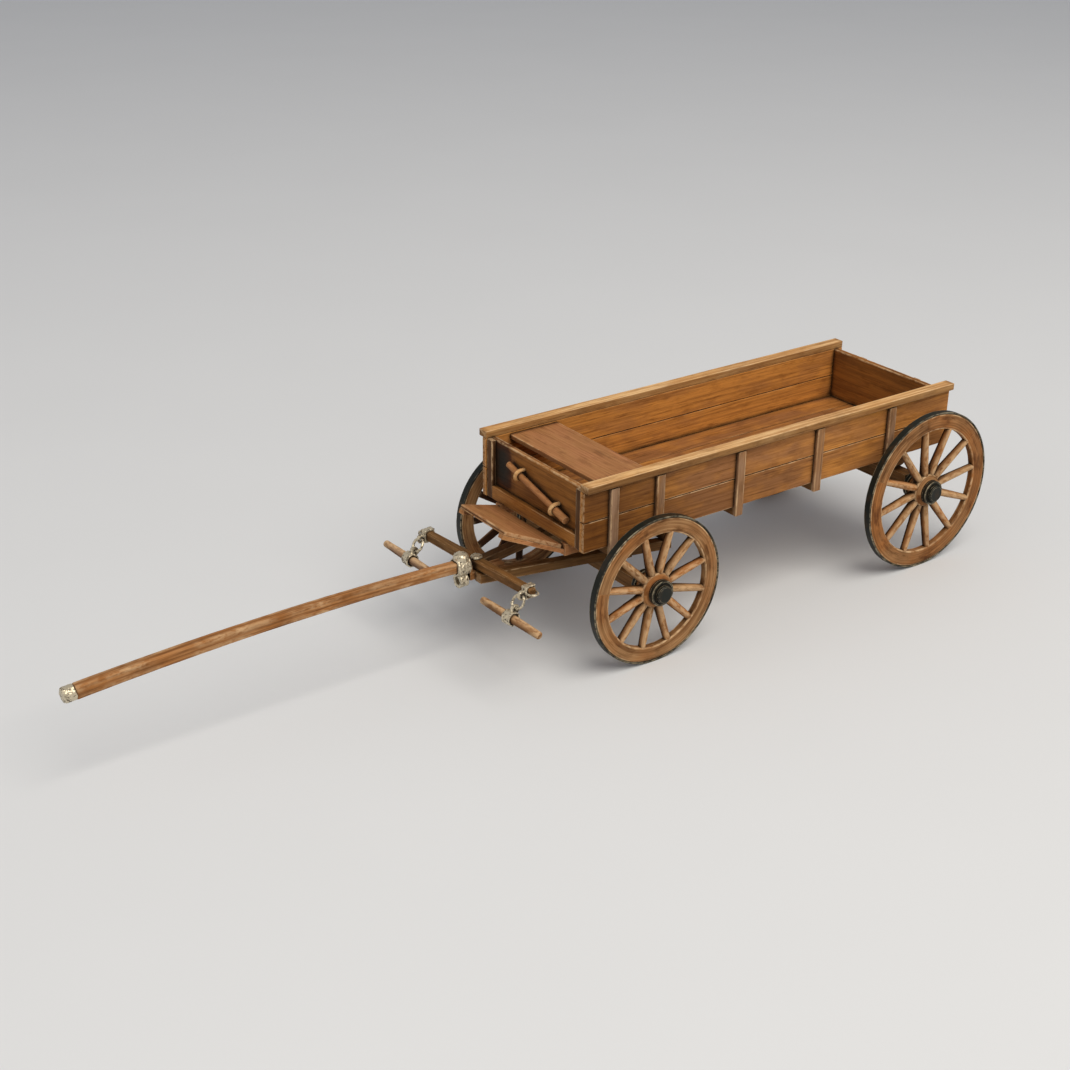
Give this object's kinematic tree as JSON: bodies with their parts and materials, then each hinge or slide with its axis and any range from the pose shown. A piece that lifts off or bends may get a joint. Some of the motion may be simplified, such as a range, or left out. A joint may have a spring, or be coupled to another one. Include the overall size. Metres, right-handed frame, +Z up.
{
  "type": "scale model of a farm wagon",
  "caption": "Scale model of a horse-drawn farm wagon: open plank box on spoked wheels, seat and footboard, turning fore-carriage with a bowed pole, evener and singletrees.",
  "frame": {"origin": "on the ground plane under the middle of the overall length and width", "axes": "+X forward along the pole, +Y to the left side of the wagon, +Z up"},
  "size_m": [0.1861, 0.0478, 0.0351],
  "materials": {
    "box_wood": "brown stain with a dark wash, matt",
    "trim_wood": "paler dry-brushed tan, matt",
    "seat_wood": "warm pinkish tan, matt",
    "gear_wood": "dark brown stain, matt",
    "pole_wood": "orange-brown stain, satin",
    "wheel_wood": "tan over dark wash, matt",
    "black_iron": "black with edges rubbed bright",
    "worn_iron": "bright metal, patchy dark wash"
  },
  "bodies": {
    "body": {"side_left_boards": "box_wood", "side_right_boards": "box_wood", "rail_left": "trim_wood", "rail_right": "trim_wood", "side_cleats": "trim_wood", "cross_sills": "gear_wood", "floor_boards": "box_wood", "front_board": "box_wood", "front_posts": "trim_wood", "front_sill": "trim_wood", "tailgate_board": "box_wood", "tailgate_battens": "trim_wood", "seat_board": "seat_wood", "seat_bearers": "seat_wood", "rod": "pole_wood", "rod_staples": "black_iron", "footboard": "seat_wood", "footboard_arms": "seat_wood", "front_bolster": "gear_wood", "rear_bolster": "gear_wood", "reach": "gear_wood", "rear_hounds": "gear_wood", "king_bolt": "black_iron", "rear_axle_beam": "gear_wood", "rear_axle_arms": "black_iron"},
    "fore_carriage": {"front_axle_beam": "gear_wood", "front_axle_arms": "black_iron", "front_hounds": "gear_wood", "sand_board": "gear_wood", "sway_bar": "gear_wood", "pole": "pole_wood", "pole_ferrule": "worn_iron", "pole_collar": "worn_iron", "evener_bolt": "worn_iron"},
    "evener": {"evener": "pole_wood", "evener_clips": "worn_iron"},
    "singletree_left": {"singletree_left": "pole_wood", "singletree_left_hanger": "worn_iron"},
    "singletree_right": {"singletree_right": "pole_wood", "singletree_right_hanger": "worn_iron"},
    "wheel_front_left": {"wheel_front_left_hub": "wheel_wood", "wheel_front_left_hub_bands": "black_iron", "wheel_front_left_spokes": "wheel_wood", "wheel_front_left_felloe": "wheel_wood", "wheel_front_left_tyre": "black_iron"},
    "wheel_front_right": {"wheel_front_right_hub": "wheel_wood", "wheel_front_right_hub_bands": "black_iron", "wheel_front_right_spokes": "wheel_wood", "wheel_front_right_felloe": "wheel_wood", "wheel_front_right_tyre": "black_iron"},
    "wheel_rear_left": {"wheel_rear_left_hub": "wheel_wood", "wheel_rear_left_hub_bands": "black_iron", "wheel_rear_left_spokes": "wheel_wood", "wheel_rear_left_felloe": "wheel_wood", "wheel_rear_left_tyre": "black_iron"},
    "wheel_rear_right": {"wheel_rear_right_hub": "wheel_wood", "wheel_rear_right_hub_bands": "black_iron", "wheel_rear_right_spokes": "wheel_wood", "wheel_rear_right_felloe": "wheel_wood", "wheel_rear_right_tyre": "black_iron"}
  },
  "joints": [
    {"name": "fore_carriage_turn", "type": "hinge", "parent": "body", "child": "fore_carriage", "pos_m": [-0.00808, 0, 0.0167], "axis": [0, 0, 1], "range_deg": [-15, 15]},
    {"name": "evener_pivot", "type": "hinge", "parent": "fore_carriage", "child": "evener", "pos_m": [0.01597, 0, 0.01775], "axis": [0, 0, 1], "range_deg": [-19.5, 10.5]},
    {"name": "singletree_left_swing", "type": "hinge", "parent": "evener", "child": "singletree_left", "pos_m": [0.01639, 0.01448, 0.0174], "axis": [-0.0958, 0.9954, 0], "range_deg": [-50, 40]},
    {"name": "singletree_right_swing", "type": "hinge", "parent": "evener", "child": "singletree_right", "pos_m": [0.01865, -0.01423, 0.0174], "axis": [0.0349, 0.9994, 0], "range_deg": [-50, 40]},
    {"name": "wheel_front_left_roll", "type": "hinge", "parent": "fore_carriage", "child": "wheel_front_left", "pos_m": [-0.00808, 0.02105, 0.01418], "axis": [0, 1, 0], "continuous": true},
    {"name": "wheel_front_right_roll", "type": "hinge", "parent": "fore_carriage", "child": "wheel_front_right", "pos_m": [-0.00808, -0.02105, 0.01418], "axis": [0, 1, 0], "continuous": true},
    {"name": "wheel_rear_left_roll", "type": "hinge", "parent": "body", "child": "wheel_rear_left", "pos_m": [-0.07677, 0.02105, 0.01625], "axis": [0, 1, 0], "continuous": true},
    {"name": "wheel_rear_right_roll", "type": "hinge", "parent": "body", "child": "wheel_rear_right", "pos_m": [-0.07677, -0.02105, 0.01625], "axis": [0, 1, 0], "continuous": true}
  ]
}
